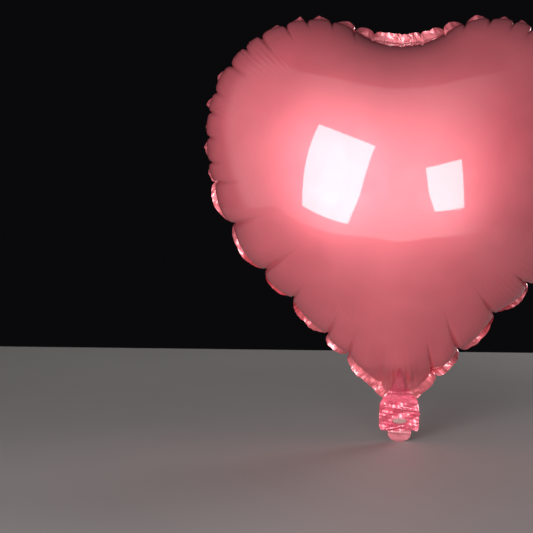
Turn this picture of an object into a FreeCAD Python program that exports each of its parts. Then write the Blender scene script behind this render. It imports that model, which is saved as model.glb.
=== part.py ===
import FreeCAD, Part
import math
import os

import Sketcher
from FreeCAD import Vector

# A heart-shaped foil balloon, inflated, with its flat filling tail hanging below the neck.
# The origin is on the tie line across the neck. +Z is up and the front faces -Y.
# Each film is drawn thicker than the real 0.04 mm foil so that it stays a workable solid.

doc = FreeCAD.newDocument("FoilHeartBalloon")
sheet = doc.addObject("Spreadsheet::Sheet", "Sheet")

drivingDimensions = [
    # The heart, measured at the seam where the two panels are welded.
    ("heart_width", 364.0),
    ("lobe_top", 361.0),
    ("lobe_radius", 102.0),
    ("lobe_inner_radius", 74.0),
    ("cleft_radius", 100.0),
    ("side_radius", 190.0),
    # How far one panel bulges, and where.
    ("bulge", 89.0),
    ("crown_height", 214.0),
    ("crown_reach", 106.0),
    ("shoulder", 50.0),
    ("tip_taper", 0.8),
    # The welded edge outside the seam, and the films.
    ("margin", 9.5),
    ("film", 0.5),
    ("valve_film", 0.1),
    ("valve_slit", 0.04),
    # The neck, the way through it between its welds, and the gap over each fold line that leaves
    # the fold room to turn.
    ("neck_width", 34.0),
    ("mouth_width", 21.0),
    ("neck_length", 8.0),
    ("fold_gap", 1.1),
    # The filling tail and its pull tab.
    ("tail_width", 39.5),
    ("tail_length", 30.0),
    ("tail_corner", 3.0),
    ("tab_width", 22.6),
    ("tab_length", 9.4),
    ("tab_corner", 7.0),
    # The inflation port, a slit with pointed ends.
    ("port_width", 14.5),
    ("port_height", 5.3),
    ("port_drop", 20.4),
    # The two valve films, which run from below the port up into the heart.
    ("valve_width", 18.0),
    ("valve_side_clearance", 0.5),
    ("valve_tail_length", 26.0),
    ("valve_root_top", 26.0),
    ("valve_flap_length", 70.0),
    ("valve_joint_gap", 0.3),
]
for row, (alias, value) in enumerate(drivingDimensions, start=1):
    sheet.set("A%d" % row, alias)
    sheet.set("B%d" % row, "%g" % value)
    sheet.setAlias("B%d" % row, alias)
doc.recompute()

subParts = []


def size(alias):
    """Read one driving dimension."""
    return float(sheet.get(alias))


def keep(part, label):
    """Mark an object as a sub-part. Its label names its file."""
    part.Label = label
    subParts.append(part)
    return part


def box(name, sizes, corner):
    """A Part box whose three sizes and lowest corner are expressions."""
    block = doc.addObject("Part::Box", name)
    for side, expression in zip(("Length", "Width", "Height"), sizes):
        block.setExpression(side, expression)
    for axis, expression in zip("xyz", corner):
        block.setExpression("Placement.Base." + axis, expression)
    return block


def combine(kind, name, first, second):
    """A Part boolean of two objects."""
    result = doc.addObject(kind, name)
    result.Base = first
    result.Tool = second
    return result


# ---------------------------------------------------------------- heart panels


def arcPoints(centre, radius, fromDegrees, toDegrees, count):
    """Points along an arc, in (x, z), both ends included."""
    points = []
    for step in range(count):
        angle = math.radians(fromDegrees + (toDegrees - fromDegrees) * step / (count - 1))
        points.append((centre[0] + radius * math.cos(angle), centre[1] + radius * math.sin(angle)))
    return points


def rightHalfOutline():
    """The seam's right half, from the neck's corner up the side, over the lobe, to the cleft.

    A straight lower edge from the mouth, a long side arc, two lobe arcs that meet on top of the
    lobe, and the cleft's hollow arc, each tangent to the next.
    """
    lobeX = size("heart_width") / 2 - size("lobe_radius")
    lobeZ = size("lobe_top") - size("lobe_radius")
    innerZ = size("lobe_top") - size("lobe_inner_radius")
    sideCentre = (size("heart_width") / 2 - size("side_radius"), lobeZ)
    reach = size("cleft_radius") + size("lobe_inner_radius")
    cleftZ = innerZ + math.sqrt(reach ** 2 - lobeX ** 2)
    meeting = math.degrees(math.atan2(cleftZ - innerZ, -lobeX))
    mouth = (size("mouth_width") / 2, size("neck_length"))
    toMouth = math.atan2(mouth[1] - sideCentre[1], mouth[0] - sideCentre[0])
    tangentTurn = math.acos(size("side_radius") / math.dist(mouth, sideCentre))
    sideStart = math.degrees(toMouth + tangentTurn)
    outline = [mouth]
    outline += arcPoints(sideCentre, size("side_radius"), sideStart, 0, 16)
    outline += arcPoints((lobeX, lobeZ), size("lobe_radius"), 0, 90, 16)[1:]
    outline += arcPoints((lobeX, innerZ), size("lobe_inner_radius"), 90, meeting, 10)[1:]
    outline += arcPoints((0.0, cleftZ), size("cleft_radius"), meeting - 180, -90, 8)[1:]
    return outline


def evenPoints(outline, count):
    """The same closed outline as a number of evenly spaced points."""
    loop = outline + outline[:1]
    lengths = [math.dist(a, b) for a, b in zip(loop, loop[1:])]
    total = sum(lengths)
    points = []
    segment = 0
    passed = 0.0
    for step in range(count):
        target = total * step / count
        while passed + lengths[segment] < target:
            passed += lengths[segment]
            segment += 1
        share = (target - passed) / lengths[segment]
        start, end = loop[segment], loop[segment + 1]
        points.append(tuple(start[i] + (end[i] - start[i]) * share for i in (0, 1)))
    return points


def offsetOutline(outline, distance):
    """Move a closed outline outwards along its normals."""
    count = len(outline)
    moved = []
    for index, (x, z) in enumerate(outline):
        before, after = outline[index - 1], outline[(index + 1) % count]
        alongX, alongZ = after[0] - before[0], after[1] - before[1]
        length = math.hypot(alongX, alongZ)
        moved.append((x + distance * alongZ / length, z - distance * alongX / length))
    return moved


def domeSurface(outline, side, bulge):
    """The bulge of one panel as a B-spline surface, closed around the seam.

    Each meridian is one cubic from the crown to the seam: level at the crown, square to the seam
    plane at the seam. Its second row is a circle round the crown and its third stands over the
    seam, lower towards the tip, where the heart is narrow.
    """
    crownZ = size("crown_height")
    crownReach = size("crown_reach")
    crown = []
    ring = []
    shoulderRow = []
    seam = []
    for x, z in outline:
        away = math.hypot(x, z - crownZ)
        outX, outZ = x / away, (z - crownZ) / away
        downwards = max(0.0, -outZ)
        shoulder = size("shoulder") * (1 - size("tip_taper") * downwards ** 6)
        crown.append(Vector(0, side * bulge, crownZ))
        ring.append(Vector(outX * crownReach, side * bulge, crownZ + outZ * crownReach))
        shoulderRow.append(Vector(x, side * shoulder, z))
        seam.append(Vector(x, 0, z))
    surface = Part.BSplineSurface()
    count = len(outline)
    poles = [[row[i] for row in (crown, ring, shoulderRow, seam)] for i in range(count)]
    surface.buildFromPolesMultsKnots(
        poles, [1] * (count + 1), [4, 4], list(range(count + 1)), [0.0, 1.0], True, False, 3, 3
    )
    return surface


def seamWire(outline, y):
    """The smooth closed curve that a dome surface has as its edge on this outline."""
    count = len(outline)
    curve = Part.BSplineCurve()
    poles = [Vector(x, y, z) for x, z in outline]
    curve.buildFromPolesMultsKnots(poles, [1] * (count + 1), list(range(count + 1)), True, 3)
    return Part.Wire([curve.toShape()])


def domeSolid(outline, side, bulge):
    """A solid from the seam plane out to the bulge."""
    dome = domeSurface(outline, side, bulge).toShape()
    floor = Part.Face(Part.Wire(openEdges(dome)))
    solid = Part.makeSolid(Part.makeShell([dome, floor]))
    if solid.Volume < 0:
        solid.reverse()
    return solid


def openEdges(face):
    """The edges of a dome face that lie in the seam plane."""
    return [edge for edge in face.Edges if edge.Length > 1 and abs(edge.CenterOfMass.y) < 1e-6]


def heartShell(side):
    """One panel's hollow bulge with its flat welded margin round it."""
    seamPoints = 150
    rightHalf = rightHalfOutline()
    leftHalf = [(-x, z) for x, z in reversed(rightHalf)][1:]
    seam = evenPoints(rightHalf + leftHalf, seamPoints)
    inner = offsetOutline(seam, -size("film"))
    rim = offsetOutline(seam, size("margin"))
    outside = domeSolid(seam, side, size("bulge"))
    inside = domeSolid(inner, side, size("bulge") - size("film"))
    plate = Part.Face(seamWire(rim, 0)).extrude(Vector(0, side * size("film"), 0))
    reach = size("heart_width")
    belowNeck = Part.makeBox(2 * reach, 2 * reach, reach)
    belowNeck.translate(Vector(-reach, -reach, size("fold_gap") - reach))
    return plate.cut(belowNeck).fuse(outside).cut(inside)


def panel(label, side):
    """A whole panel: bulge, margin and neck, with the valve's channel cut in its inner face."""
    shell = doc.addObject("Part::Feature", label + "_bulge")
    shell.Shape = heartShell(side)
    filmCorner = "-Sheet.film" if side < 0 else "0"
    neck = box(
        label + "_neck",
        ("Sheet.neck_width", "Sheet.film", "Sheet.neck_length - Sheet.fold_gap"),
        ("-Sheet.neck_width / 2", filmCorner, "Sheet.fold_gap"),
    )
    blank = combine("Part::Fuse", label + "_blank", shell, neck)
    channelDepth = "(Sheet.valve_film + Sheet.valve_slit)"
    channelCorner = "-" + channelDepth if side < 0 else "0"
    channelWidth = "(Sheet.valve_width + 2 * Sheet.valve_side_clearance)"
    channel = box(
        label + "_channel",
        (channelWidth, channelDepth, "Sheet.valve_root_top"),
        ("-" + channelWidth + " / 2", channelCorner, "0"),
    )
    return keep(combine("Part::Cut", label + "_cut", blank, channel), label)


for label, side in (("front_panel", -1), ("back_panel", 1)):
    panel(label, side)


# ------------------------------------------------------------- tail and tab films


def originPlane(body, role):
    """One of a body's own origin planes, by its role."""
    return next(item for item in body.Origin.OriginFeatures if item.Role == role)


def newSketch(body, name, role):
    """A sketch on one of the body's own origin planes."""
    sketch = body.newObject("Sketcher::SketchObject", name)
    sketch.AttachmentSupport = [(originPlane(body, role), "")]
    sketch.MapMode = "FlatFace"
    return sketch


def pin(sketch, element, point, kind, expression):
    """Hold one coordinate of a sketch point, measured from the sketch's origin."""
    drawn = sketch.getPoint(element, point)
    value = drawn.x if kind == "DistanceX" else drawn.y
    index = sketch.addConstraint(Sketcher.Constraint(kind, -1, 1, element, point, value))
    sketch.setExpression("Constraints[%d]" % index, expression)


def join(sketch, pairs):
    """Make pairs of (element, point) coincide."""
    for first, second in pairs:
        sketch.addConstraint(Sketcher.Constraint("Coincident", *first, *second))


def setRadius(sketch, element, value, expression):
    """Give an arc a radius from an expression."""
    index = sketch.addConstraint(Sketcher.Constraint("Radius", element, value))
    sketch.setExpression("Constraints[%d]" % index, expression)


def signed(side, expression):
    """An expression measured towards one side of the seam plane: -1 front, 1 back."""
    return expression if side > 0 else "-(" + expression + ")"


def arc(centre, radius, fromDegrees, toDegrees):
    """A sketch arc, drawn anticlockwise."""
    circle = Part.Circle(Vector(centre[0], centre[1], 0), Vector(0, 0, 1), radius)
    return Part.ArcOfCircle(circle, math.radians(fromDegrees), math.radians(toDegrees))


def foldFilm(label, side, hinge, length, width, corner):
    """A flat film hung from a fold line, with a quarter-round top centred on that line.

    hinge is the fold line's height, as a value and as an expression. The film's inner face lies on
    the seam plane, and its two lower corners are rounded.
    """
    body = doc.addObject("PartDesign::Body", label + "_body")
    profile = newSketch(body, label + "_profile", "YZ_Plane")
    hingeZ, hingeExpression = hinge
    lengthValue, lengthExpression = length
    face, bottom = side * size("film"), hingeZ - lengthValue
    inner, lower, outer, top = 0, 1, 2, 3
    profile.addGeometry(Part.LineSegment(Vector(0, hingeZ + size("film"), 0), Vector(0, bottom, 0)))
    profile.addGeometry(Part.LineSegment(Vector(0, bottom, 0), Vector(face, bottom, 0)))
    profile.addGeometry(Part.LineSegment(Vector(face, bottom, 0), Vector(face, hingeZ, 0)))
    quarter = (90, 180) if side < 0 else (0, 90)
    profile.addGeometry(arc((0, hingeZ), size("film"), *quarter))
    topEnd, sideEnd = (1, 2) if side < 0 else (2, 1)
    join(profile, [((inner, 2), (lower, 1)), ((lower, 2), (outer, 1))])
    join(profile, [((outer, 2), (top, sideEnd)), ((top, topEnd), (inner, 1))])
    bottomExpression = hingeExpression + " - " + lengthExpression
    pin(profile, top, 3, "DistanceX", "0")
    pin(profile, top, 3, "DistanceY", hingeExpression)
    pin(profile, inner, 1, "DistanceX", "0")
    pin(profile, inner, 2, "DistanceX", "0")
    pin(profile, inner, 2, "DistanceY", bottomExpression)
    pin(profile, lower, 2, "DistanceX", signed(side, "Sheet.film"))
    pin(profile, lower, 2, "DistanceY", bottomExpression)
    pin(profile, outer, 2, "DistanceY", hingeExpression)
    setRadius(profile, top, size("film"), "Sheet.film")

    plate = body.newObject("PartDesign::Pad", label + "_plate")
    plate.Profile = profile
    plate.SideType = "Symmetric"
    plate.setExpression("Length", width)
    body.Tip = plate
    doc.recompute()

    lowest = plate.Shape.BoundBox.ZMin + 0.001
    lowerCorners = [
        "Edge%d" % number
        for number, edge in enumerate(plate.Shape.Edges, start=1)
        if edge.BoundBox.ZMax < lowest and edge.BoundBox.XLength < 0.001
    ]
    rounding = body.newObject("PartDesign::Fillet", label + "_corners")
    rounding.Base = (plate, lowerCorners)
    rounding.setExpression("Radius", corner)
    body.Tip = rounding
    return body


def channelSketch(body, label):
    """The valve's rectangle inside the tail, from above the fold line to below the port."""
    sketch = newSketch(body, label + "_channel_outline", "XZ_Plane")
    halfWidth = "(Sheet.valve_width / 2 + Sheet.valve_side_clearance)"
    right, left = size("valve_width") / 2, -size("valve_width") / 2
    top, bottom = size("fold_gap"), -size("valve_tail_length")
    corners = [(left, bottom), (right, bottom), (right, top), (left, top)]
    for start, end in zip(corners, corners[1:] + corners[:1]):
        sketch.addGeometry(Part.LineSegment(Vector(*start, 0), Vector(*end, 0)))
    join(sketch, [((i, 2), ((i + 1) % 4, 1)) for i in range(4)])
    across = ["-" + halfWidth, halfWidth, halfWidth, "-" + halfWidth]
    down = "-(Sheet.valve_tail_length + Sheet.valve_side_clearance)"
    up = [down, down, "Sheet.fold_gap", "Sheet.fold_gap"]
    for corner in range(4):
        pin(sketch, corner, 1, "DistanceX", across[corner])
        pin(sketch, corner, 1, "DistanceY", up[corner])
    return sketch


def portSketch(body, label):
    """The inflation port: two equal arcs that meet in a point at each side."""
    sketch = newSketch(body, label + "_port_outline", "XZ_Plane")
    width, height, centreZ = size("port_width"), size("port_height"), -size("port_drop")
    radius = (width ** 2 + height ** 2) / (4 * height)
    rise = radius - height / 2
    halfTurn = math.degrees(math.asin(width / 2 / radius))
    sketch.addGeometry(arc((0, centreZ - rise), radius, 90 - halfTurn, 90 + halfTurn))
    sketch.addGeometry(arc((0, centreZ + rise), radius, 270 - halfTurn, 270 + halfTurn))
    join(sketch, [((0, 2), (1, 1)), ((1, 2), (0, 1))])
    radiusExpression = "(Sheet.port_width ^ 2 + Sheet.port_height ^ 2) / (4 * Sheet.port_height)"
    pin(sketch, 0, 2, "DistanceX", "-Sheet.port_width / 2")
    pin(sketch, 0, 2, "DistanceY", "-Sheet.port_drop")
    for element in (0, 1):
        pin(sketch, element, 3, "DistanceX", "0")
        setRadius(sketch, element, radius, radiusExpression)
    return sketch


def pocket(body, name, sketch, depth):
    """Cut a sketch that lies on the seam plane, to the same depth on both sides of it."""
    cut = body.newObject("PartDesign::Pocket", name)
    cut.Profile = sketch
    cut.Type = "Length"
    cut.SideType = "Symmetric"
    cut.setExpression("Length", "2 * " + depth)
    body.Tip = cut


def tailFilm(label, side, hasPort):
    """One film of the filling tail, with its half of the valve channel."""
    length = (size("tail_length"), "Sheet.tail_length")
    body = foldFilm(label, side, (0.0, "0"), length, "Sheet.tail_width", "Sheet.tail_corner")
    depth = "(Sheet.valve_film + Sheet.valve_slit)"
    pocket(body, label + "_channel", channelSketch(body, label), depth)
    if hasPort:
        pocket(body, label + "_port", portSketch(body, label), "(Sheet.film * 2)")
    return keep(body, label)


def tabFilm(label, side):
    """One film of the pull tab below the tail."""
    hinge = (-size("tail_length") - size("fold_gap"), "-(Sheet.tail_length + Sheet.fold_gap)")
    length = (size("tab_length"), "Sheet.tab_length")
    return keep(foldFilm(label, side, hinge, length, "Sheet.tab_width", "Sheet.tab_corner"), label)


tailFilm("tail_front_film", -1, True)
tailFilm("tail_back_film", 1, False)
tabFilm("tab_front_film", -1)
tabFilm("tab_back_film", 1)


# ------------------------------------------------------------------- valve films


def valveFilm(label, side, bottom, top):
    """A plain strip of valve film between two heights, clear of the seam plane by half the slit."""
    near = "Sheet.valve_slit / 2"
    far = "-(Sheet.valve_slit / 2 + Sheet.valve_film)"
    return box(
        label + "_strip",
        ("Sheet.valve_width", "Sheet.valve_film", "(" + top + ") - (" + bottom + ")"),
        ("-Sheet.valve_width / 2", far if side < 0 else near, bottom),
    )


def valveRun(side, name):
    """One valve film in three lengths: in the tail, through the neck and free inside the heart."""
    flapBottom = "Sheet.valve_root_top + Sheet.valve_joint_gap"
    tailStrip = valveFilm("tail_valve_" + name, side, "-Sheet.valve_tail_length", "0")
    if side < 0:
        punchBody = doc.addObject("PartDesign::Body", "port_punch")
        punch = punchBody.newObject("PartDesign::Pad", "port_punch_pad")
        punch.Profile = portSketch(punchBody, "port_punch")
        punch.SideType = "Symmetric"
        punch.setExpression("Length", "2 * Sheet.film")
        punchBody.Tip = punch
        tailStrip = combine("Part::Cut", "tail_valve_" + name + "_cut", tailStrip, punchBody)
    keep(tailStrip, "tail_valve_" + name + "_film")
    neckStrip = valveFilm("neck_valve_" + name, side, "Sheet.fold_gap", "Sheet.valve_root_top")
    keep(neckStrip, "neck_valve_" + name + "_film")
    flapTop = flapBottom + " + Sheet.valve_flap_length"
    keep(valveFilm("inner_flap_" + name, side, flapBottom, flapTop), "inner_flap_" + name)


valveRun(-1, "front")
valveRun(1, "back")


# ---------------------------------------------------------------- check and write

doc.recompute()
for item in doc.Objects:
    broken = {"Invalid", "Error"} & set(item.State)
    if broken:
        raise RuntimeError("%s is %s" % (item.Name, broken))
for part in subParts:
    if part.Shape.isNull() or not part.Shape.isValid() or len(part.Shape.Solids) != 1:
        raise RuntimeError("%s has no sound solid" % part.Label)

os.makedirs("parts", exist_ok=True)
for part in subParts:
    part.Shape.exportStep(os.path.join("parts", part.Label + ".step"))
    print("%-24s %10.2f mm3" % (part.Label, part.Shape.Volume))
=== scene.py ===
import math
import bpy
import numpy as np
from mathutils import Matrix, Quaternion, Vector


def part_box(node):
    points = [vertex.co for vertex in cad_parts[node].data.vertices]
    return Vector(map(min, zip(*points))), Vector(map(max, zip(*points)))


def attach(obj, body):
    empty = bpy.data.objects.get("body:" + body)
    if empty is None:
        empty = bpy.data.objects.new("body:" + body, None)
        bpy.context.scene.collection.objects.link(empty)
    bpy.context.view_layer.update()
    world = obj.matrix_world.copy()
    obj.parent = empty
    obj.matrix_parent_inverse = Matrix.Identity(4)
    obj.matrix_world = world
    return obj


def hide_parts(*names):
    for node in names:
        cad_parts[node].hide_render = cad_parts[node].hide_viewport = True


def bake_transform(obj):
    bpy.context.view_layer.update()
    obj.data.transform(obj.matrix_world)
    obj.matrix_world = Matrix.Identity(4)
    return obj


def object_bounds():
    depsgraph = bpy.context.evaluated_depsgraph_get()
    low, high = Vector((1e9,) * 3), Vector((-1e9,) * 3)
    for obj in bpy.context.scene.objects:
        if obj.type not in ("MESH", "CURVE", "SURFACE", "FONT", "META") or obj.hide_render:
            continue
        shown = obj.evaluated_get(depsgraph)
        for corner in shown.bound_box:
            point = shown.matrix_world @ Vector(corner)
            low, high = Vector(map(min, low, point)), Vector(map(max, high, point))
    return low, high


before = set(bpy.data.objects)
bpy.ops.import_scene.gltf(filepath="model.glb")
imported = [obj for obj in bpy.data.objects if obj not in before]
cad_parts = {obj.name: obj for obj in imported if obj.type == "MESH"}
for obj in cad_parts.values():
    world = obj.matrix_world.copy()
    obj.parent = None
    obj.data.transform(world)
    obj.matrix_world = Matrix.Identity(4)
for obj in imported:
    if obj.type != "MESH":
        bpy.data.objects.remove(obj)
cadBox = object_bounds()
mm = 0.001

# sizes of the heart in metres; the ends of the panel's box give the seam's width and top
panelLow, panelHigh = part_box("front_panel")
heart = {
    "margin": 9.5 * mm,
    "lobeRadius": 102 * mm,
    "innerLobeRadius": 74 * mm,
    "cleftRadius": 100 * mm,
    "sideRadius": 190 * mm,
    "mouthHalf": 10.5 * mm,
    "mouthHeight": 8 * mm,
    "neckFoot": 0.5 * mm,
    "crownHeight": 214 * mm,
    "crownReach": 106 * mm,
    "shoulder": 50 * mm,
    "tipTaper": 0.8,
    "neckSwell": 30 * mm,
    "neckThin": 0.03,
    "filmGap": 0.12 * mm,
    "mouthGap": 0.35 * mm,
    "columns": 1200,
    "rows": 52,
    "rowGrowth": 2.6,
    "firstShare": 0.992,
    "marginRows": 5,
    "seed": 11,
    "bulge": panelHigh[1] - panelLow[1],
}
heart["halfWidth"] = panelHigh[0] - heart["margin"]
heart["lobeTop"] = panelHigh[2] - heart["margin"]


def arcPoints(centre, radius, start, end, count):
    # points centre + radius * (cos a, sin a), with a from start to end in degrees
    angle = np.radians(np.linspace(start, end, count))
    return np.stack([centre[0] + radius * np.cos(angle), centre[1] + radius * np.sin(angle)], 1)


def evenLoop(corners, count):
    # a closed line through the given points, as a number of points at even distances along it
    loop = np.concatenate([corners, corners[:1]])
    along = np.concatenate([[0], np.cumsum(np.linalg.norm(np.diff(loop, axis=0), axis=1))])
    even = np.linspace(0, along[-1], count, endpoint=False)
    return np.stack([np.interp(even, along, loop[:, axis]) for axis in (0, 1)], 1), along[-1]


def seamOutline(count):
    # the seam seen from the front, as evenly spaced points in (x, z): from the mouth's right corner
    # up the side arc, over the lobe, down into the cleft and back down the mirror image
    lobe = (heart["halfWidth"] - heart["lobeRadius"], heart["lobeTop"] - heart["lobeRadius"])
    innerZ = heart["lobeTop"] - heart["innerLobeRadius"]
    side = (heart["halfWidth"] - heart["sideRadius"], lobe[1])
    cleftZ = innerZ + math.sqrt((heart["cleftRadius"] + heart["innerLobeRadius"]) ** 2 - lobe[0] ** 2)
    meeting = math.degrees(math.atan2(cleftZ - innerZ, -lobe[0]))
    mouth = (heart["mouthHalf"], heart["mouthHeight"])
    towards = math.atan2(mouth[1] - side[1], mouth[0] - side[0])
    sideStart = math.degrees(towards + math.acos(heart["sideRadius"] / math.dist(mouth, side)))
    right = np.concatenate([
        [mouth],
        arcPoints(side, heart["sideRadius"], sideStart, 0, 80),
        arcPoints(lobe, heart["lobeRadius"], 0, 90, 80)[1:],
        arcPoints((lobe[0], innerZ), heart["innerLobeRadius"], 90, meeting, 40)[1:],
        arcPoints((0, cleftZ), heart["cleftRadius"], meeting - 180, -90, 30)[1:],
    ])
    return evenLoop(np.concatenate([right, (right[::-1] * [-1, 1])[1:]]), count)


def bell(value, width):
    # 1 at nought, falling smoothly to nearly nothing beyond the width
    return np.exp(-((value / width) ** 2))


def ramp(value, low, high):
    # nought below low and 1 above high, with a smooth rise between
    share = np.clip((value - low) / (high - low), 0, 1)
    return share * share * (3 - 2 * share)


def swell(depth, peak):
    # the depth in peaks times an exponential fall: nought at the seam and 1 at the peak's depth
    return (depth / peak) * np.exp(1 - depth / peak)


def softNoise(place, pitch, draws):
    # one value for each place along a line, between -1 and 1, smooth between random knots
    knots = draws.uniform(-1, 1, int(place.max() / pitch) + 3)
    at = place / pitch
    low = at.astype(int)
    share = ramp(at - low, 0, 1)
    return knots[low] * (1 - share) + knots[low + 1] * share


def facets(along, across, pitch, draws):
    # flat-sided crumples between -1 and 1: random heights at the knots of a net, joined by planes
    along, across = along / pitch, across / pitch
    along, across = along - along.min(), across - across.min()
    knots = draws.uniform(-1, 1, (int(across.max()) + 3, int(along.max()) + 3))
    i, j = across.astype(int), along.astype(int)
    a, b = across - i, along - j
    here, onward, inward, corner = knots[i, j], knots[i, j + 1], knots[i + 1, j], knots[i + 1, j + 1]
    upper = here + (onward - here) * b + (corner - onward) * a
    lower = here + (inward - here) * a + (corner - inward) * b
    return np.where(b > a, upper, lower)


def domeMeridians(outline, side, share):
    # meridians from the seam to the crown, at given shares of their length: each is one cubic with
    # four control points, level at the crown and square to the seam; the foot swells out of the neck
    crown = np.array([0, heart["crownHeight"]])
    away = outline - crown
    direction = away / np.linalg.norm(away, axis=1)[:, None]
    down = np.clip(-direction[:, 1], 0, 1)
    shoulder = heart["shoulder"] * (1 - heart["tipTaper"] * down ** 6)
    ring = crown + direction * heart["crownReach"]
    level = np.full(len(outline), side * heart["bulge"])
    flat = np.zeros(len(outline))
    controls = [
        np.stack([outline[:, 0], flat, outline[:, 1]], 1),
        np.stack([outline[:, 0], side * shoulder, outline[:, 1]], 1),
        np.stack([ring[:, 0], level, ring[:, 1]], 1),
        np.stack([np.full_like(flat, crown[0]), level, np.full_like(flat, crown[1])], 1),
    ]
    steps = 300
    t = np.linspace(0, 1, steps)[:, None, None]
    weights = ((1 - t) ** 3, 3 * t * (1 - t) ** 2, 3 * t * t * (1 - t), t ** 3)
    fine = sum(weight * control[None] for weight, control in zip(weights, controls))
    above = fine[..., 2] - heart["mouthHeight"]
    thin = heart["neckThin"]
    fine[..., 1] *= thin + (1 - thin) * ramp(above, -0.1 * heart["neckSwell"], heart["neckSwell"])
    step = np.linalg.norm(np.diff(fine, axis=0), axis=2)
    length = np.concatenate([np.zeros((1, len(outline))), np.cumsum(step, axis=0)])
    wanted = share[:, None] * length[-1]
    columns = range(len(outline))
    place = np.stack([np.interp(wanted[:, j], length[:, j], np.arange(steps)) for j in columns], 1)
    low = np.clip(place.astype(int), 0, steps - 2)
    part = (place - low)[..., None]
    column = np.arange(len(outline))[None]
    return fine[low, column] * (1 - part) + fine[low + 1, column] * part, wanted


def evened(rows, widths):
    # each row of a closed grid smoothed along itself by a bell as wide as its own number of columns
    waves = np.fft.rfftfreq(rows.shape[1])[None, :, None] * widths[:, None, None]
    softened = np.fft.rfft(rows, axis=1) * np.exp(-2 * (np.pi * waves) ** 2)
    return np.fft.irfft(softened, rows.shape[1], axis=1)


# how the foil puckers where its seam is drawn in: lengths are in metres and angles in degrees, the
# sagitta, reach and creaseReach are shares of the pitch, and evening is a number of columns
puckers = {
    "lobePitch": 22 * mm,
    "sidePitch": 47 * mm,
    "neckPitch": 34 * mm,
    "sagitta": 0.105,
    "reach": 0.74,
    "reachEnd": 2.4,
    "meanScallop": 0.62,
    "meanRipple": 0.64,
    "creaseFoot": 15 * mm,
    "creaseReach": 0.70,
    "nip": 4.2 * mm,
    "nipWidth": 1.1 * mm,
    "overhang": 5.2 * mm,
    "overhangDepth": 12 * mm,
    "ripple": 0.5 * mm,
    "ripplePitch": 5.5 * mm,
    "rippleReach": 40 * mm,
    "flame": 2.6 * mm,
    "flameHalf": 6.5 * mm,
    "flameTop": 27 * mm,
    "footCrumple": 0.7 * mm,
    "footPitch": 3.6 * mm,
    "pleat": 1.3 * mm,
    "pleatPitch": 6.5 * mm,
    "pleatReach": 13 * mm,
    "evening": 34,
    "foldAngle": 60,
    "leanAngle": 16,
    "lobeLean": 42,
    "lobeFold": 42,
    "crumple": 0.95 * mm,
    "crumplePitch": 3.4 * mm,
    "wobblePitch": 6 * mm,
}


def puckerTrain(outline, along, draws):
    # where each column lies in its scallop, from 0 at one crease to 1 at the next, and what the
    # creases at both ends are like: how far they run in and to which side the margin folds there
    z = outline[:, 1]
    neck, side, lobe = (puckers[place] for place in ("neckPitch", "sidePitch", "lobePitch"))
    pitch = neck + (side - neck) * ramp(z, 30 * mm, 120 * mm)
    pitch = pitch + (lobe - pitch) * ramp(z, 165 * mm, 240 * mm)
    phase = np.cumsum(np.gradient(along) / pitch)
    knots = np.arange(int(phase.max()) + 3)
    phase = np.interp(phase, knots, knots + draws.uniform(-0.22, 0.22, len(knots)))
    phase = phase - phase.min()
    cell = phase.astype(int)
    part = phase - cell
    reach = draws.uniform(0.55, 1.35, len(knots))
    nearest = reach[np.where(part < 0.5, cell, cell + 1)]
    fold = draws.choice([-1.0, 1.0], len(knots))
    skew = draws.uniform(0.62, 1.6, len(knots))[cell]
    peak = draws.uniform(0.25, 0.75, len(knots))[cell]
    tall = draws.uniform(-12, 20, len(knots))[cell]
    return {
        "pitch": pitch,
        "part": part,
        "onLobe": ramp(z, 180 * mm, 235 * mm) * (1 - bell(outline[:, 0], 50 * mm)),
        "spike": np.where(part < peak, 1 - part / peak, (part - peak) / (1 - peak)),
        "tall": tall,
        "scallop": 4 * part ** skew * (1 - part ** skew),
        "reach": (reach[cell] * (1 - part) + reach[cell + 1] * part) * pitch * puckers["reach"],
        "crease": puckers["creaseFoot"] + puckers["creaseReach"] * pitch * nearest,
        "fold": fold[cell] * (1 - part) ** 2.6 + fold[cell + 1] * part ** 2.6,
    }


def surfaceNormals(points):
    # cross product of the grid's two tangents, one unit vector for each point
    around = np.roll(points, -1, 1) - np.roll(points, 1, 1)
    inward = np.gradient(points, axis=0)
    normal = np.cross(around, inward)
    return normal / (np.linalg.norm(normal, axis=2)[..., None] + 1e-12)


def scallops(depth, train, offCleft, aboveMouth, aboveNeck):
    # how far the skin moves out: it swells between creases by a parabola, stands over the seam
    # everywhere, and is nipped in at each crease by a narrow ridge that ends at its own depth
    sagitta = puckers["sagitta"] * train["pitch"] * (0.12 + 0.88 * offCleft) * aboveMouth
    fading = np.exp(-((depth / train["reach"]) ** puckers["reachEnd"]))
    out = sagitta * (train["scallop"] - puckers["meanScallop"]) * fading
    out += puckers["overhang"] * offCleft * aboveNeck * swell(depth, puckers["overhangDepth"])
    fromCrease = np.minimum(train["part"], 1 - train["part"]) * train["pitch"]
    nip = puckers["nip"] * (0.5 + 0.5 * offCleft) * aboveMouth
    return out - nip * np.exp(-fromCrease / puckers["nipWidth"]) * np.exp(-((depth / train["crease"]) ** 4))


def ripples(depth, along, atMouth, draws):
    # fine wrinkles square to the seam: rectified sine waves in patches, each with its own reach
    patches = ramp(softNoise(along, 60 * mm, draws), -0.1, 0.7) * (1 - 0.6 * atMouth)
    phase = along / puckers["ripplePitch"] + 0.6 * softNoise(along, 17 * mm, draws)
    reach = puckers["rippleReach"] * (1 + 0.5 * softNoise(along, 9 * mm, draws))
    wave = np.abs(np.sin(np.pi * phase)) - puckers["meanRipple"]
    return puckers["ripple"] * patches * wave * np.exp(-((depth / reach) ** 1.5))


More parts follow.
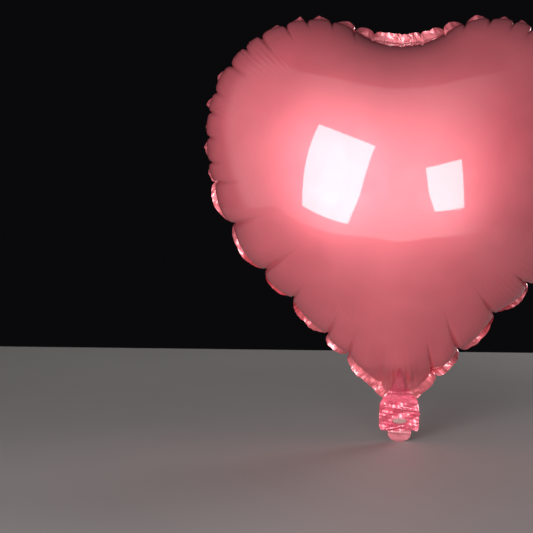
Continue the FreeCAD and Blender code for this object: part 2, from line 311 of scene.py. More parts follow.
def footPleats(skin, depth, x, atMouth, draws):
    # the foot of the heart: cosine pleats over the mouth, one pointed pleat up the middle and crumples
    pleat = 0.5 + 0.5 * np.cos(2 * np.pi * (x / puckers["pleatPitch"] + 0.3))
    out = puckers["pleat"] * atMouth * pleat * swell(depth, puckers["pleatReach"]) ** 1.5
    upward = skin[..., 2] - heart["mouthHeight"]
    rise = ramp(upward, 0.2 * mm, 4 * mm)
    narrowing = np.clip(1 - upward / puckers["flameTop"], 0.03, 1)
    flame = bell(skin[..., 0] - 1 * mm, puckers["flameHalf"] * narrowing) * narrowing ** 0.5
    foot = rise * (1 - ramp(upward, 6 * mm, 30 * mm)) * bell(skin[..., 0], 20 * mm)
    crumpled = 1 + facets(skin[..., 0], skin[..., 2], puckers["footPitch"], draws)
    raised = puckers["flame"] * flame * rise + puckers["footCrumple"] * foot * crumpled
    return out + raised * (upward < puckers["flameTop"] + 8 * mm)


def panelGrid(side, outline, along, train, draws):
    # one panel as a grid of (rows, columns) points from the crown to the seam, with each point's
    # distance from the seam, the margin's outward direction and width, and where it may pucker
    even = np.linspace(1, 0, heart["rows"] + 1)
    share = (np.exp(heart["rowGrowth"] * even) - 1) / (np.exp(heart["rowGrowth"]) - 1)
    skin, depth = domeMeridians(outline, side, share * heart["firstShare"])
    skin = evened(skin, puckers["evening"] * ramp(depth.mean(1), 14 * mm, 75 * mm))
    x, z = outline[:, 0], outline[:, 1]
    offCleft = 1 - bell(x, 58 * mm) * (z > 250 * mm)
    aboveNeck = ramp(z, 12 * mm, 42 * mm)
    atMouth = bell(x, 14 * mm) * (z < 60 * mm)
    out = scallops(depth, train, offCleft, ramp(z, 9 * mm, 30 * mm), aboveNeck)
    out += ripples(depth, along, atMouth, draws)
    out += footPleats(skin, depth, x, atMouth, draws)
    normal = surfaceNormals(skin)
    normal[-1] = normal[-1] * [1, 0, 1]
    normal[-1] /= np.linalg.norm(normal[-1], axis=1)[:, None] + 1e-12
    if np.einsum("ijk,ijk->", normal, skin - np.array([0, 0, heart["crownHeight"]])) < 0:
        normal = -normal
    slack = 0.5 * mm
    atMouthLine = (np.abs(x) < heart["mouthHalf"] + slack) & (z < heart["mouthHeight"] + slack)
    out[-1, atMouthLine] = 0
    skin = skin + out[..., None] * normal
    tangent = np.roll(outline, -1, 0) - np.roll(outline, 1, 0)
    outward = np.stack([tangent[:, 1], 0 * x, -tangent[:, 0]], 1)
    outward /= np.linalg.norm(outward, axis=1)[:, None]
    width = np.where(atMouthLine, heart["mouthHeight"] - heart["neckFoot"], heart["margin"])
    return skin, outward, width, depth, atMouthLine, offCleft * aboveNeck


def marginGrid(seam, outward, width, puckered, train, along, draws):
    # the welded margin outside the seam: a strip that leans to one side or the other, folds over
    # at each crease and is crumpled in flat facets, and the direction that parts its two layers
    lean = puckers["leanAngle"] * softNoise(along, 70 * mm, draws)
    folded = lean + puckers["foldAngle"] * train["fold"] * puckered
    spiked = puckers["lobeLean"] - train["tall"]
    spiked = spiked + (puckers["lobeFold"] + train["tall"]) * train["spike"]
    angle = np.radians(folded + (spiked - folded) * train["onLobe"])
    share = np.linspace(0, 1, heart["marginRows"] + 1)[:, None]
    reach = (share * width[None])[..., None]
    sideways = np.array([0, 1.0, 0])
    direction = np.cos(angle)[:, None] * outward + np.sin(angle)[:, None] * sideways
    strip = seam[None] + reach * direction[None]
    spread = along[None] + 0 * share
    crumple = facets(spread, reach[..., 0], puckers["crumplePitch"], draws)
    strip[..., 1] += puckers["crumple"] * crumple * np.minimum(share * 2, 1)
    wobble = puckers["crumple"] * facets(spread, 0 * spread, puckers["wobblePitch"], draws)
    apart = np.cos(angle)[:, None] * sideways - np.sin(angle)[:, None] * outward
    return strip + (wobble * share)[..., None] * outward[None], apart


def gridMesh(name, rings, pole):
    # a grid of (rows, columns, 3) that closes round, as quads, with a fan to a pole before row 0
    rows, around = rings.shape[:2]
    points = rings.reshape(-1, 3)
    column = np.arange(around)
    start = np.arange(rows - 1)[:, None] * around
    here = start + column[None]
    onward = start + (column[None] + 1) % around
    faces = np.stack([here, here + around, onward + around, onward], -1).reshape(-1, 4).tolist()
    if pole:
        points = np.concatenate([points, rings[0].mean(0)[None]])
        faces += np.stack([np.full(around, len(points) - 1), column, (column + 1) % around], 1).tolist()
    return meshPiece(name, points, faces)


def mapGrid(piece, step, across):
    # a map for a grid with a pole: its first axis is the column times the step along the seam and
    # its second is the distance given for each point
    column = np.arange(across.shape[1])
    onward = np.roll(across, -1, 1)
    quads = np.stack([across[:-1], across[1:], onward[1:], onward[:-1]], -1)
    sides = np.stack([column, column, column + 1, column + 1], -1)[None] * step + 0 * quads
    top = np.stack([column + 0.5, column, column + 1], 1) * step
    high = np.stack([across[0], across[0], onward[0]], 1)
    parts = [np.stack([sides, quads], -1).reshape(-1, 2), np.stack([top, high], -1).reshape(-1, 2)]
    layer = piece.data.uv_layers.new(name="filmMap")
    layer.data.foreach_set("uv", np.concatenate(parts).astype(np.float32).ravel())


def meshPiece(name, points, faces):
    # an object at the origin whose smooth mesh has the given points and faces
    mesh = bpy.data.meshes.new(name)
    mesh.from_pydata(points.tolist(), [], faces)
    mesh.polygons.foreach_set("use_smooth", [True] * len(mesh.polygons))
    mesh.update()
    piece = bpy.data.objects.new(name, mesh)
    bpy.context.scene.collection.objects.link(piece)
    return piece


def newMaterial(name):
    # a material with its node tree and its Principled shader
    material = bpy.data.materials.new(name)
    material.use_nodes = True
    tree = material.node_tree
    return material, tree, tree.nodes["Principled BSDF"]


def addNode(tree, kind, sockets=None, **settings):
    # a shader node with its settings; each socket is given a value or the output that feeds it
    node = tree.nodes.new("ShaderNode" + kind)
    for key, value in settings.items():
        setattr(node, key, value)
    for key, value in (sockets or {}).items():
        if isinstance(value, bpy.types.NodeSocket):
            tree.links.new(value, node.inputs[key])
        else:
            node.inputs[key].default_value = value
    return node


def newGroup(name, inputs, outputs):
    # an empty node group with named sockets, and its input and output nodes
    tree = bpy.data.node_groups.new(name, "ShaderNodeTree")
    for socket, kind in inputs.items():
        tree.interface.new_socket(socket, in_out="INPUT", socket_type="NodeSocket" + kind)
    for socket, kind in outputs.items():
        tree.interface.new_socket(socket, in_out="OUTPUT", socket_type="NodeSocket" + kind)
    return tree, tree.nodes.new("NodeGroupInput").outputs, tree.nodes.new("NodeGroupOutput").inputs


def useGroup(tree, group, sockets):
    # a shared effect placed in a material with its own values
    return addNode(tree, "Group", sockets, node_tree=group).outputs


def buildHandlingMarks():
    # fine rubbed lines and soft smudges left by hands and folding
    tree, given, result = newGroup("handlingMarks", {"Vector": "Vector", "Scale": "Float"},
                                   {"Height": "Float", "Smudge": "Float"})
    sized = addNode(tree, "VectorMath", {0: given["Vector"]}, operation="SCALE")
    tree.links.new(given["Scale"], sized.inputs["Scale"])
    drawn = addNode(tree, "Mapping", {"Vector": sized.outputs[0], "Rotation": (0.2, 0.5, 0.7),
                                      "Scale": (1.0, 1.0, 14.0)})
    lines = addNode(tree, "TexNoise", {"Vector": drawn.outputs[0], "Scale": 6.0, "Detail": 4.0})
    smudges = addNode(tree, "TexNoise", {"Vector": sized.outputs[0], "Scale": 0.7, "Detail": 5.0,
                                         "Roughness": 0.65, "Distortion": 0.6})
    mask = addNode(tree, "MapRange", {"Value": smudges.outputs["Fac"],
                                      "From Min": 0.38, "From Max": 0.66})
    tree.links.new(lines.outputs["Fac"], result["Height"])
    tree.links.new(mask.outputs[0], result["Smudge"])
    return tree


def buildCrumple():
    # flat facets with ridges between them, as film keeps after it has been folded
    tree, given, result = newGroup("crumple", {"Vector": "Vector", "Scale": "Float"},
                                   {"Height": "Float"})
    sized = addNode(tree, "VectorMath", {0: given["Vector"]}, operation="SCALE")
    tree.links.new(given["Scale"], sized.inputs["Scale"])
    bend = addNode(tree, "TexNoise", {"Vector": sized.outputs[0], "Scale": 0.8, "Detail": 2.0})
    moved = addNode(tree, "VectorMath", {0: bend.outputs["Color"], 1: sized.outputs[0]}, operation="ADD")
    coarse = addNode(tree, "TexVoronoi", {"Vector": moved.outputs[0], "Scale": 1.0})
    fine = addNode(tree, "TexVoronoi", {"Vector": moved.outputs[0], "Scale": 2.7})
    small = addNode(tree, "Math", {0: fine.outputs["Distance"], 1: 0.35}, operation="MULTIPLY")
    both = addNode(tree, "Math", {0: coarse.outputs["Distance"], 1: small.outputs[0]}, operation="ADD")
    tree.links.new(both.outputs[0], result["Height"])
    return tree


def buildSeamWrinkles():
    # short fine wrinkles square to the seam; the film map runs along the seam and away from it
    tree, given, result = newGroup("seamWrinkles", {"Map": "Vector", "Reach": "Float"},
                                   {"Height": "Float", "Margin": "Float"})
    parts = addNode(tree, "SeparateXYZ", {0: given["Map"]})
    drawn = addNode(tree, "Mapping", {"Vector": given["Map"], "Scale": (420.0, 26.0, 1.0)})
    wrinkles = addNode(tree, "TexNoise", {"Vector": drawn.outputs[0], "Scale": 1.0, "Detail": 2.0})
    places = addNode(tree, "Mapping", {"Vector": given["Map"], "Scale": (24.0, 3.0, 1.0)})
    gate = addNode(tree, "TexNoise", {"Vector": places.outputs[0], "Scale": 1.0, "Detail": 1.0})
    where = addNode(tree, "MapRange", {"Value": gate.outputs["Fac"], "From Min": 0.42, "From Max": 0.6})
    fade = addNode(tree, "MapRange", {"Value": parts.outputs["Y"], "From Min": 0.0,
                                      "To Min": 1.0, "To Max": 0.0}, interpolation_type="SMOOTHSTEP")
    tree.links.new(given["Reach"], fade.inputs["From Max"])
    shown = addNode(tree, "Math", {0: where.outputs[0], 1: fade.outputs[0]}, operation="MULTIPLY")
    height = addNode(tree, "Math", {0: wrinkles.outputs["Fac"], 1: shown.outputs[0]}, operation="MULTIPLY")
    outside = addNode(tree, "Math", {0: parts.outputs["Y"], 1: -0.0002}, operation="LESS_THAN")
    tree.links.new(height.outputs[0], result["Height"])
    tree.links.new(outside.outputs[0], result["Margin"])
    return tree


def buildDyeDepth():
    # the dye lies a little thicker in soft clouds, from the pale colour to the deep one
    tree, given, result = newGroup("dyeDepth", {"Vector": "Vector", "Scale": "Float",
                                                "Pale": "Color", "Deep": "Color"}, {"Color": "Color"})
    clouds = addNode(tree, "TexNoise", {"Vector": given["Vector"], "Scale": given["Scale"],
                                        "Detail": 3.0})
    share = addNode(tree, "MapRange", {"Value": clouds.outputs["Fac"],
                                       "From Min": 0.35, "From Max": 0.65})
    mixed = addNode(tree, "Mix", data_type="RGBA")
    tree.links.new(share.outputs[0], mixed.inputs[0])
    tree.links.new(given["Pale"], mixed.inputs[6])
    tree.links.new(given["Deep"], mixed.inputs[7])
    tree.links.new(mixed.outputs[2], result["Color"])
    return tree


groups = {
    "handlingMarks": buildHandlingMarks(),
    "crumple": buildCrumple(),
    "seamWrinkles": buildSeamWrinkles(),
    "dyeDepth": buildDyeDepth(),
}

rubDepth = 0.012 * mm
edgeTint = (0.62, 0.12, 0.20, 1)

# the finishes of the metal-coated films
films = {
    "pinkFoil": {
        "pale": (0.88, 0.198, 0.238), "deep": (0.84, 0.165, 0.205), "metallic": 0.55,
        "rough": (0.42, 0.50), "coatIor": 1.72, "coatRough": 0.035, "cloud": 9, "marks": 60,
        "crumpleScale": 260, "crumpleDepth": 0.25 * mm,
        "wrinkleDepth": 1.6 * mm, "wrinkleReach": 62 * mm,
    },
    "tailFoil": {
        "pale": (0.88, 0.15, 0.225), "deep": (0.76, 0.075, 0.14), "metallic": 0.35,
        "rough": (0.26, 0.42), "coatIor": 1.7, "coatRough": 0.08, "cloud": 60, "marks": 90,
        "crumpleScale": 250, "crumpleDepth": 0.22 * mm, "wrinkleDepth": 0,
    },
    "tabFoil": {
        "pale": (0.80, 0.26, 0.30), "deep": (0.74, 0.20, 0.24), "metallic": 0.35,
        "rough": (0.36, 0.5), "coatIor": 1.6, "coatRough": 0.12, "cloud": 90, "marks": 120,
        "crumpleScale": 380, "crumpleDepth": 0.12 * mm, "wrinkleDepth": 0,
    },
}


def placedDye(tree, place, look):
    # the clouded dye colour of a film, in the object's own coordinates
    return useGroup(tree, groups["dyeDepth"], {"Vector": place, "Scale": look["cloud"],
                                               "Pale": (*look["pale"], 1), "Deep": (*look["deep"], 1)})


def placedMarks(tree, place, look):
    # the handling marks of a film, and the roughness that its smudges give
    marks = useGroup(tree, groups["handlingMarks"], {"Vector": place, "Scale": look["marks"]})
    rough = addNode(tree, "MapRange", {"Value": marks["Smudge"], "To Min": look["rough"][0],
                                       "To Max": look["rough"][1]})
    return marks, rough.outputs[0]


def scaled(tree, value, factor):
    # a value times a factor
    return addNode(tree, "Math", {0: value, 1: factor}, operation="MULTIPLY").outputs[0]


def added(tree, first, second):
    # the sum of two values
    return addNode(tree, "Math", {0: first, 1: second}, operation="ADD").outputs[0]


def foilMaterial(name):
    # dyed clear film over metal: a broad glow from the base and sharp reflections from the coat
    film = films[name]
    material, tree, shader = newMaterial(name)
    place = addNode(tree, "TexCoord").outputs
    colour = placedDye(tree, place["Object"], film)
    marks, rough = placedMarks(tree, place["Object"], film)
    crumple = useGroup(tree, groups["crumple"], {"Vector": place["Object"],
                                                 "Scale": film["crumpleScale"]})
    height = scaled(tree, crumple["Height"], film["crumpleDepth"])
    if film["wrinkleDepth"]:
        wrinkles = useGroup(tree, groups["seamWrinkles"], {"Map": place["UV"],
                                                           "Reach": film["wrinkleReach"]})
        height = scaled(tree, height, wrinkles["Margin"])
        height = added(tree, height, scaled(tree, wrinkles["Height"], film["wrinkleDepth"]))
    height = added(tree, height, scaled(tree, marks["Height"], rubDepth))
    bump = addNode(tree, "Bump", {"Height": height, "Distance": 1.0, "Strength": 1.0})
    tree.links.new(colour["Color"], shader.inputs["Base Color"])
    tree.links.new(rough, shader.inputs["Roughness"])
    tree.links.new(bump.outputs[0], shader.inputs["Normal"])
    shader.inputs["Metallic"].default_value = film["metallic"]
    shader.inputs["Specular Tint"].default_value = edgeTint
    shader.inputs["Coat Weight"].default_value = 1.0
    shader.inputs["Coat Roughness"].default_value = film["coatRough"]
    shader.inputs["Coat IOR"].default_value = film["coatIor"]
    return material


valveLook = {
    "pale": (0.72, 0.43, 0.40), "deep": (0.62, 0.35, 0.32), "cloud": 140, "marks": 110,
    "rough": (0.28, 0.5), "crumpleScale": 300, "crumpleDepth": 0.12 * mm, "alpha": 0.85,
}


def valveMaterial():
    # milky soft film, cloudy where it clings
    material, tree, shader = newMaterial("valveFilm")
    place = addNode(tree, "TexCoord").outputs["Object"]
    colour = placedDye(tree, place, valveLook)
    rough = placedMarks(tree, place, valveLook)[1]
    crumple = useGroup(tree, groups["crumple"], {"Vector": place, "Scale": valveLook["crumpleScale"]})
    height = scaled(tree, crumple["Height"], valveLook["crumpleDepth"])
    bump = addNode(tree, "Bump", {"Height": height, "Distance": 1.0})
    tree.links.new(colour["Color"], shader.inputs["Base Color"])
    tree.links.new(rough, shader.inputs["Roughness"])
    tree.links.new(bump.outputs[0], shader.inputs["Normal"])
    shader.inputs["Alpha"].default_value = valveLook["alpha"]
    return material


outline, seamLength = seamOutline(heart["columns"])
along = np.arange(heart["columns"]) * seamLength / heart["columns"]
draws = np.random.default_rng(heart["seed"])
train = puckerTrain(outline, along, draws)
pinkFoil = foilMaterial("pinkFoil")
panels = {}
marginStrip = None
for node, side in (("front_panel", -1), ("back_panel", 1)):
    skin, outward, width, depth, mouthColumns, puckered = panelGrid(side, outline, along, train, draws)
    if marginStrip is None:
        marginStrip, apart = marginGrid(skin[-1], outward, width, puckered, train, along, draws)
    strip = marginStrip + side * heart["filmGap"] * apart[None]
    strip[:, mouthColumns, 1] = side * heart["mouthGap"]
    skin[-1] = strip[0]
    rings = np.concatenate([skin, strip[1:]])
    share = np.linspace(0, 1, heart["marginRows"] + 1)[1:, None]
    across = np.concatenate([depth, -share * width[None]])
    if side > 0:
        rings, across = rings[:, ::-1], across[:, ::-1]
    piece = gridMesh(node + "Film", rings, True)
    mapGrid(piece, seamLength / heart["columns"], across)
    piece.data.materials.append(pinkFoil)
    panels[node] = piece
    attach(piece, "envelope")
    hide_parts(node)
print("panels made")


towards = outline - [0, heart["crownHeight"]]
towards /= np.linalg.norm(towards, axis=1)[:, None]


def rayLoop(loop, centre, angles):
    # where rays from a centre meet a closed line that it sees the whole of
    fine = evenLoop(loop, 4000)[0] - centre
    turn = np.arctan2(fine[:, 1], fine[:, 0])
    order = np.argsort(turn)
    far = np.interp(angles, turn[order], np.hypot(fine[:, 0], fine[:, 1])[order], period=2 * np.pi)
    return centre + far[:, None] * np.stack([np.cos(angles), np.sin(angles)], 1)


def tri(phase):
    # a zigzag between -1 and 1
    return 4 * np.abs(phase - np.round(phase)) - 1


tail = {
    "halfWidth": 19.75 * mm,
    "waist": 17.2 * mm,
    "top": 7 * mm,
    "foot": -30 * mm,
    "leftCorner": 5 * mm,
    "rightCorner": 2.2 * mm,
    "portHeight": -20.4 * mm,
    "portHalf": 7.25 * mm,
    "portRise": 2.65 * mm,
    "rim": 0.45 * mm,
    "gap": 0.62 * mm,
    "lay": 0.9 * mm,
    "layFrom": 6 * mm,
    "curl": 2.2 * mm,
    "around": 420,
    "rings": 46,
    # each crumple's depth, pitch, shares of x and z, and start
    "crumples": (
        (0.30 * mm, 15 * mm, 0.9, 0.5, 0.2),
        (0.20 * mm, 11 * mm, -0.5, 0.9, 0.6),
        (0.08 * mm, 5.2 * mm, 1, 0.15, 0),
        (0.05 * mm, 3.7 * mm, 3.7 / 19, 1, 0),
    ),
    # each crease's depth, width, height at the middle and slope, then the side it runs off and where
    # it starts and is whole
    "creases": (
        (-0.8 * mm, 1.0 * mm, -8.5 * mm, -0.12, 1, -18 * mm, -4 * mm),
        (0.5 * mm, 1.2 * mm, -13.0 * mm, 0.1, 1, -2 * mm, 12 * mm),
        (-0.5 * mm, 0.8 * mm, -26.5 * mm, 0.2, -1, -12 * mm, 2 * mm),
    ),
}
tab = {
    "half": 11.3 * mm, "top": -27.5 * mm, "shoulderHeight": -31.5 * mm, "foot": -40.5 * mm,
    "gap": 0.3 * mm, "least": 0.1 * mm, "gapTop": -38.5 * mm, "waveFoot": -36 * mm, "waveTop": -29 * mm,
    "creaseDepth": 0.5 * mm, "creaseWidth": 0.7 * mm, "creaseHeight": -32.2 * mm, "creaseSlope": -0.06,
    "roundness": 0.86,
}
valve = {
    "half": 9 * mm, "tailFoot": -26 * mm, "neckFoot": 0.2 * mm, "neckTop": 26 * mm,
    "flapFoot": 26.3 * mm, "flapTop": 96.3 * mm, "gap": 0.16 * mm, "ripple": 0.05 * mm,
    "curl": 1.2 * mm, "curlFoot": 40 * mm, "curlTop": 96 * mm, "clear": 0.6 * mm,
}


def tailWave(x, z):
    # how far the tail's layers lie from the middle plane together: the sum of the zigzag crumples,
    # of creases that fall off exponentially to both sides, and of a lower right corner that curls
    # forwards by the square of its way out and down
    wave = 0 * x
    for depth, pitch, alongX, alongZ, start in tail["crumples"]:
        wave = wave + depth * tri((alongX * x + alongZ * z) / pitch + start)
    for depth, width, height, slope, way, start, whole in tail["creases"]:
        off = np.abs(z - height - slope * x)
        wave = wave + depth * np.exp(-off / width) * ramp(way * x, start, whole)
    curl = np.clip((x - 10 * mm) / (10 * mm), 0, 1) * np.clip((-22 * mm - z) / (8 * mm), 0, 1)
    return (wave - tail["curl"] * curl ** 2) * ramp(-z, -1 * mm, 5 * mm)


def onPanel(node, x, z):
    # how far out the panel lies in front of each point, from its own points weighed by nearness
    mesh = panels[node].data
    points = np.empty(len(mesh.vertices) * 3)
    mesh.vertices.foreach_get("co", points)
    points = points.reshape(-1, 3)
    atFoot = (np.abs(points[:, 0]) < 18 * mm) & (points[:, 2] < 48 * mm) & (points[:, 2] > 5 * mm)
    near = points[atFoot]
    away = (x.reshape(-1, 1) - near[None, :, 0]) ** 2 + (z.reshape(-1, 1) - near[None, :, 2]) ** 2
    weight = 1 / (away + (0.3 * mm) ** 2) ** 2
    return ((weight * np.abs(near[None, :, 1])).sum(1) / weight.sum(1)).reshape(x.shape)


def portLens(grow=0.0):
    # a slit with pointed ends: x follows the cosine and z the sine to the power of 1.35
    turn = np.linspace(0, 2 * np.pi, 240, endpoint=False)
    half, rise = tail["portHalf"] + grow, tail["portRise"] + grow
    x = half * np.cos(turn)
    z = rise * np.sign(np.sin(turn)) * np.abs(np.sin(turn)) ** 1.35
    return np.stack([x, tail["portHeight"] + z], 1)


def tailOutline():
    # the tail's edge with its two rounded lower corners, and the pointed pleat above it
    half, foot = tail["halfWidth"], tail["foot"]
    left, right = tail["leftCorner"], tail["rightCorner"]
    return np.concatenate([
        arcPoints((-half + left, foot + left), left, 270, 180, 14),
        [(-half, -18 * mm), (-half + 0.5 * mm, -4.5 * mm), (-tail["waist"], 0), (-13.5 * mm, 4 * mm)],
        [(-10 * mm, tail["top"] + 2 * mm), (-7.5 * mm, tail["top"] + 6 * mm), (-4.6 * mm, 20 * mm)],
        [(-2.6 * mm, 28 * mm), (0.4 * mm, 35 * mm), (2.4 * mm, 27 * mm), (4.6 * mm, 20 * mm)],
        [(7 * mm, tail["top"] + 6 * mm), (10 * mm, tail["top"] + 1.5 * mm)],
        [(13.5 * mm, 4 * mm), (tail["waist"], 0), (18.3 * mm, -5 * mm), (19 * mm, -11.5 * mm)],
        [(20.2 * mm, -13.6 * mm), (18.9 * mm, -15.4 * mm), (19 * mm, -24 * mm)],
        arcPoints((18.4 * mm - right, foot + right), right, 20, -90, 8),
        [(12 * mm, foot + 0.7 * mm), (4 * mm, foot)],
    ])


def tabOutline():
    # half a superellipse, its cosine and sine both to the same power, under two upright sides
    power = tab["roundness"]
    turn = np.linspace(np.pi, 2 * np.pi, 60)
    depth = tab["shoulderHeight"] - tab["foot"]
    x = tab["half"] * np.sign(np.cos(turn)) * np.abs(np.cos(turn)) ** power
    z = tab["shoulderHeight"] + depth * np.sign(np.sin(turn)) * np.abs(np.sin(turn)) ** power
    return np.concatenate([np.stack([x, z], 1), [(tab["half"], tab["top"]), (-tab["half"], tab["top"])]])


def stripOutline(low, high):
    # a rectangle as wide as the valve
    half = valve["half"]
    return np.array([(-half, low), (half, low), (half, high), (-half, high)])


def patchFilm(name, loop, centre, hole, lift, side):
    # a flat film between its outline and a hole, or a pole where there is none, as rings drawn
    # from the inner line to the outer one; lift gives its y for every point
    angles = np.linspace(0, 2 * np.pi, tail["around"], endpoint=False)
    centre = np.array(centre)
    outer = rayLoop(loop, centre, angles)
    inner = rayLoop(hole, centre, angles) if hole is not None else centre + 0.02 * (outer - centre)
    share = np.linspace(0, 1, tail["rings"])[:, None, None]
    flat = inner[None] + (outer - inner)[None] * share
    rings = np.stack([flat[..., 0], lift(flat[..., 0], flat[..., 1]), flat[..., 1]], 2)
    if side > 0:
        rings = rings[:, ::-1]
    piece = gridMesh(name, rings, hole is None)
    return piece


def rimLift(x, z):
    # the film stands a little proud round the port, and falls off exponentially from its edge
    away = np.hypot(x / tail["portHalf"], (z - tail["portHeight"]) / (2 * tail["portRise"]))
    return tail["rim"] * np.exp(-np.maximum(away - 0.7, 0) / 0.5)


def tailLift(x, z, face, side):
    # the layers' shared wave, and to its own side the gap or, over the foot of the heart, the panel
    # and a zigzag pleat on it, whichever lies further out
    off = tail["gap"] + (rimLift(x, z) if side < 0 else 0)
    pleat = tail["lay"] * (1.1 + 0.35 * tri(x / (5.2 * mm) + z / (17 * mm)))
    laid = (onPanel(f"{face}_panel", x, z) + pleat) * (z > tail["layFrom"])
    return tailWave(x, z) + side * np.maximum(off, laid)


def tabLift(x, z, side):
    # the tail's wave as it dies away downwards, a gap that closes at the foot and one sharp crease
    wave = tailWave(x, z) * ramp(z, tab["waveFoot"], tab["waveTop"])
    off = tab["least"] + tab["gap"] * ramp(z, tab["foot"], tab["gapTop"])
    fromCrease = np.abs(z - tab["creaseHeight"] - tab["creaseSlope"] * x)
    return wave + side * off - tab["creaseDepth"] * np.exp(-fromCrease / tab["creaseWidth"])


def neckSpread(x, z):
    # how far each valve film lies from the middle in the neck: the gap and crossed sine ripples
    return valve["gap"] + valve["ripple"] * np.sin(x / mm) * np.sin(z / (3 * mm))


def flapSpread(x, z):
    # the same for the free ends: the gap, a slanting sine ripple, and edges that curl apart by the
    # square of x, more towards the top
    ripple = valve["ripple"] * (1 + np.sin(x / (1.4 * mm) + z / (9 * mm)))
    curl = valve["curl"] * ramp(z, valve["curlFoot"], valve["curlTop"]) * (x / valve["half"]) ** 2
    return valve["gap"] + ripple + curl


tailFoil = foilMaterial("tailFoil")
tabFoil = foilMaterial("tabFoil")
valveFilm = valveMaterial()
portCentre = (0.0, tail["portHeight"])
for face, side in (("front", -1), ("back", 1)):
    layer = patchFilm(
        f"tail_{face}Film", tailOutline(), portCentre, portLens() if side < 0 else None,
        lambda x, z: tailLift(x, z, face, side), side,
    )
    layer.data.materials.append(tailFoil)
    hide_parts(f"tail_{face}_film")
    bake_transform(layer)
    tongue = patchFilm(
        f"tab_{face}Film", tabOutline(), (0.0, -34 * mm), None,
        lambda x, z: tabLift(x, z, side), side,
    )
    tongue.data.materials.append(tabFoil)
    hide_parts(f"tab_{face}_film")
    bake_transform(tongue)
    hole = portLens(valve["clear"]) if side < 0 else None
    below = patchFilm(
        f"valve_tail_{face}Film", stripOutline(valve["tailFoot"], 0), portCentre, hole,
        lambda x, z: tailWave(x, z) + side * valve["gap"], side,
    )
    neck = patchFilm(
        f"valve_neck_{face}Film", stripOutline(valve["neckFoot"], valve["neckTop"]),
        (0.0, 13 * mm), None, lambda x, z: side * neckSpread(x, z), side,
    )
    flap = patchFilm(
        f"valve_flap_{face}Film", stripOutline(valve["flapFoot"], valve["flapTop"]),
        (0.0, 61 * mm), None, lambda x, z: side * flapSpread(x, z), side,
    )
    for piece, node, body in (
        (below, f"tail_valve_{face}_film", "tail"),
        (neck, f"neck_valve_{face}_film", "envelope"),
        (flap, f"inner_flap_{face}", f"valve_{face}"),
    ):
        piece.data.materials.append(valveFilm)
        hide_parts(node)
        if body == "tail":
            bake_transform(piece)
        else:
            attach(piece, body)
print("tail, tab and valve films made")


def lookFrom(item, place, target, roll=0):
    # put an object at a place with its -Z axis towards a target
    item.location = place
    towards = Vector(target) - Vector(place)
    item.rotation_euler = (towards.to_track_quat("-Z", "Y") @ Quaternion((0, 0, 1), roll)).to_euler()


view = {
    "distance": 1.5,
    "elevation": 5.0,
    "frameWidth": 0.514,
    "aimX": -0.1293,
    "aimZ": 0.1287,
    "sensor": 36.0,
}
camera = bpy.data.objects.new("camera", bpy.data.cameras.new("camera"))
bpy.context.scene.collection.objects.link(camera)
bpy.context.scene.camera = camera
camera.data.sensor_width = view["sensor"]
camera.data.lens = view["sensor"] * view["distance"] / view["frameWidth"]
rise = math.radians(view["elevation"])
lookFrom(
    camera,
    (0, -view["distance"] * math.cos(rise), view["aimZ"] + view["distance"] * math.sin(rise)),
    (view["aimX"], 0, view["aimZ"]),
)

studio = {
    "leftBox": {
        "angle": -24, "height": 0.16, "distance": 1.25, "size": (0.49, 0.80), "roll": -20, "power": 8.5,
    },
    "rightBox": {
        "angle": 15, "height": 0.06, "distance": 1.6, "size": (0.34, 0.52), "roll": 11, "power": 4.0,
    },
    "rearBox": {
        "angle": 138, "height": 0.4, "distance": 1.7, "size": (0.8, 0.7), "roll": 0, "power": 9,
    },
}
for name, box in studio.items():
    light = bpy.data.lights.new(name, "AREA")
    light.shape = "RECTANGLE"
    light.size, light.size_y = box["size"]
    light.energy = box["power"]
    lamp = bpy.data.objects.new(name, light)
    bpy.context.scene.collection.objects.link(lamp)
    turn = math.radians(box["angle"])
    place = (math.sin(turn) * box["distance"], -math.cos(turn) * box["distance"], box["height"])
    lookFrom(lamp, place, (0, 0, 0.2), math.radians(box["roll"]))

bpy.context.scene.view_settings.view_transform = "Standard"

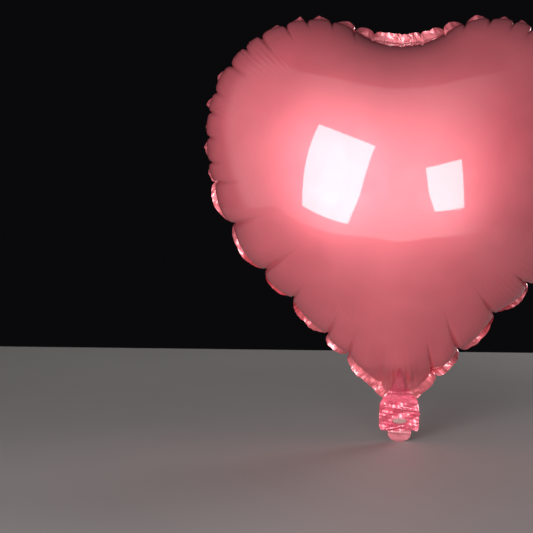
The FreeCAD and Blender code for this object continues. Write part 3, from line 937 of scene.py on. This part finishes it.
# the room: a wide pale wall in front of the object, a dim ceiling behind it and dark elsewhere; each
# edge is where it starts and ends in the direction's X, Y or Z, and how bright it is at each
room = {
    "dark": (0.003, 0.003, 0.0035, 1), "wall": (1.42, 1.38, 1.40, 1), "ceiling": (0.06, 0.055, 0.06, 1),
    "frontY": (-0.25, 0.0, 1.0, 0.0),
    "rightX": (0.15, 0.62, 1.0, 0.02),
    "leftX": (-0.85, -0.3, 0.4, 1.0),
    "footZ": (-0.635, -0.605, 0.0, 1.0),
    "topZ": (0.725, 0.755, 1.0, 0.0),
    "fadingZ": (-0.2, 0.74, 1.0, 0.33),
    "ceilingZ": (0.35, 0.70, 0.0, 1.0),
}


def buildRoom():
    # the product of the wall's edges mixes the wall over the dark and the ceiling
    world = bpy.data.worlds.new("studio")
    world.use_nodes = True
    tree = world.node_tree
    parts = addNode(tree, "SeparateXYZ", {0: addNode(tree, "TexCoord").outputs["Generated"]})

    def edge(place, kind="SMOOTHSTEP"):
        # the brightness along one axis, in a smooth or a straight run between the edge's two ends
        low, high, first, last = room[place]
        run = addNode(tree, "MapRange", {"Value": parts.outputs[place[-1]], "From Min": low,
                                         "From Max": high, "To Min": first, "To Max": last},
                      interpolation_type=kind)
        return run.outputs[0]

    wall = edge("fadingZ", "LINEAR")
    for place in ("frontY", "rightX", "leftX", "footZ", "topZ"):
        wall = scaled(tree, wall, edge(place))
    roofed = addNode(tree, "Mix", {0: edge("ceilingZ"), 6: room["dark"], 7: room["ceiling"]},
                     data_type="RGBA")
    walled = addNode(tree, "Mix", {0: wall, 6: roofed.outputs[2], 7: room["wall"]}, data_type="RGBA")
    tree.links.new(walled.outputs[2], tree.nodes["Background"].inputs["Color"])
    return world


bpy.context.scene.world = buildRoom()
ground = {
    "x": (-0.7, 0.46), "y": (-0.42, 0.62), "roughness": 0.6,
    "pale": (0.54, 0.525, 0.51), "deep": (0.50, 0.485, 0.47), "cloud": 3.0,
}
floorZ = cadBox[0].z
(left, right), (near, far) = ground["x"], ground["y"]
corners = [(left, near, floorZ), (right, near, floorZ), (right, far, floorZ), (left, far, floorZ)]
floor = meshPiece("floor", np.array(corners), [[0, 1, 2, 3]])
floorMaterial, tree, shader = newMaterial("paleFloor")
floorTone = placedDye(tree, addNode(tree, "TexCoord").outputs["Object"], ground)
tree.links.new(floorTone["Color"], shader.inputs["Base Color"])
shader.inputs["Roughness"].default_value = ground["roughness"]
floor.data.materials.append(floorMaterial)
print("camera, lights and floor set")
